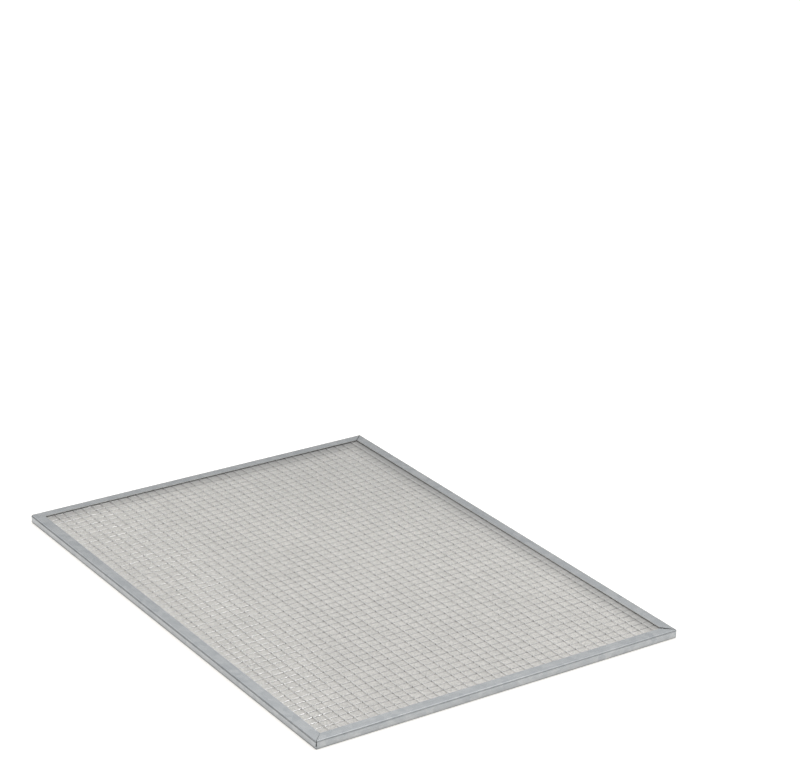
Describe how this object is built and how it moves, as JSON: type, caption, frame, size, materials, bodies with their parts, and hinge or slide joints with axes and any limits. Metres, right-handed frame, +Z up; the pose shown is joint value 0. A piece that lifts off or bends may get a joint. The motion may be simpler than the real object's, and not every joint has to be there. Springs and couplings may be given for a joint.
{
  "type": "engine air filter panel",
  "caption": "Slim rectangular air filter panel: mitred channel frame of galvanised sheet, welded wire net on both faces and a white fibre mat between them.",
  "frame": {"origin": "middle of the frame's underside, on the surface that the panel lies on", "axes": "+X along the long side, +Y along the short side, +Z up through the panel; the corner where the frame's strip closes is at +X and -Y"},
  "size_m": [0.665, 0.48, 0.0121],
  "materials": {
    "galvanised_sheet": "satin zinc with a faint spangle",
    "galvanised_wire": "dull zinc",
    "fibre": "matt non-woven fibre"
  },
  "bodies": {
    "root": {"channel_frame": "galvanised_sheet", "upper_mesh": "galvanised_wire", "filter_mat": "fibre", "lower_mesh": "galvanised_wire"}
  },
  "joints": []
}
